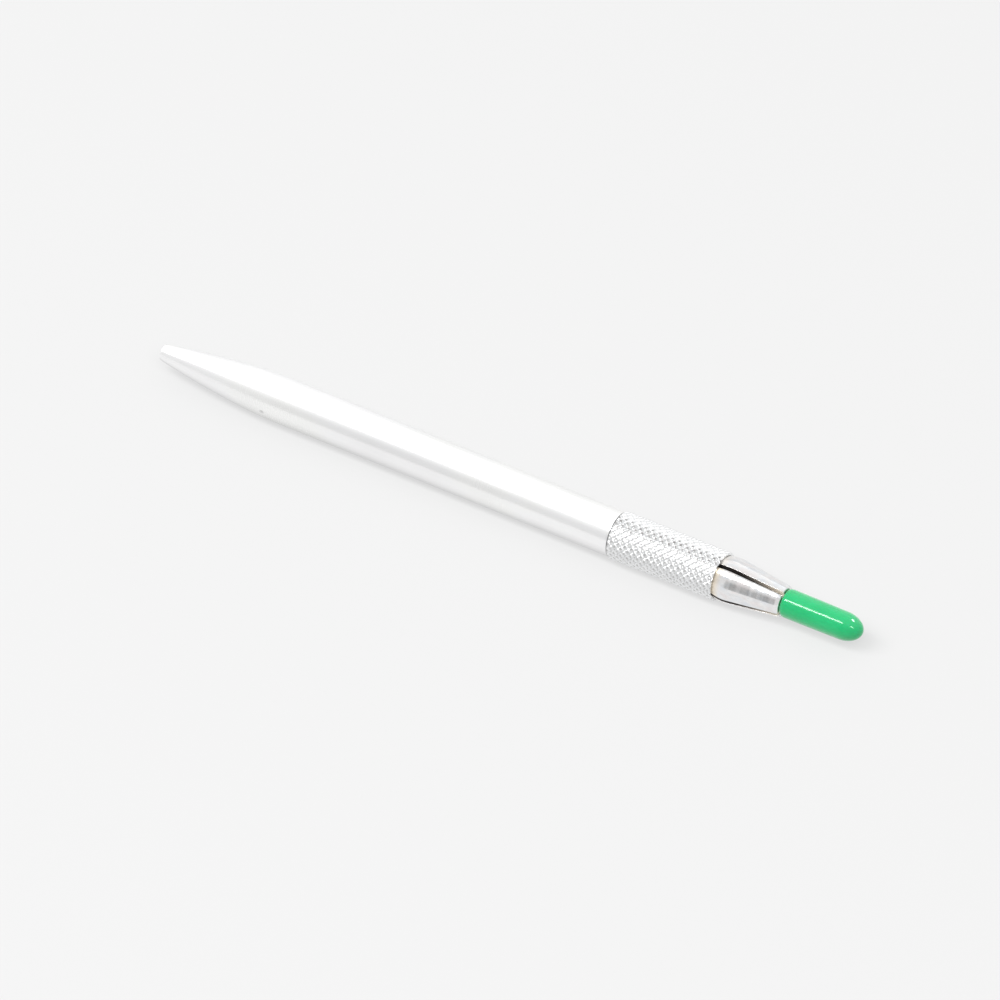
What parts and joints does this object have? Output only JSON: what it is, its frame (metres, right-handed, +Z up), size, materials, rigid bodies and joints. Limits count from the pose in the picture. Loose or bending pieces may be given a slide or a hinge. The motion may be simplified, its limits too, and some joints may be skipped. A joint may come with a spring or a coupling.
{
  "type": "scriber",
  "caption": "Pen-type metal scriber: tapered aluminium handle, knurled clamping sleeve, split collet with a carbide-tipped needle, and a push-on green point cap.",
  "frame": {"origin": "under the middle of the tool's length, on the surface that the tool lies on", "axes": "+X along the tool from the tail to the point, +Z up, +Y to the left when looking from the tail to the point"},
  "size_m": [0.134, 0.0084, 0.0085],
  "materials": {
    "satin_aluminium": "satin, finely turned",
    "knurled_aluminium": "bright diamond knurl",
    "polished_collet": "bright turned",
    "needle_steel": "ground",
    "tungsten_carbide": "fine ground, dark grey",
    "green_vinyl": "glossy, opaque"
  },
  "bodies": {
    "handle": {"handle": "satin_aluminium"},
    "sleeve": {"knurled_sleeve": "knurled_aluminium"},
    "collet": {"collet": "polished_collet"},
    "needle": {"needle_shank": "needle_steel", "carbide_point": "tungsten_carbide"},
    "cap": {"protective_cap": "green_vinyl"}
  },
  "joints": [
    {"name": "sleeve_turn", "type": "hinge", "parent": "handle", "child": "sleeve", "pos_m": [0.03, 0, 0.00424], "axis": [1, 0, 0], "range_deg": [0, 720]},
    {"name": "collet_feed", "type": "slide", "parent": "sleeve", "child": "collet", "axis": [1, 0, 0], "range_m": [0, 0.0016]},
    {"name": "needle_slide", "type": "slide", "parent": "collet", "child": "needle", "axis": [1, 0, 0], "range_m": [0, 0.034]},
    {"name": "cap_slide", "type": "slide", "parent": "needle", "child": "cap", "axis": [1, 0, 0], "range_m": [0, 0.015]}
  ],
  "couplings": [
    {"joint": "sleeve_turn", "follows": "collet_feed", "rad_per_m": 7854}
  ]
}
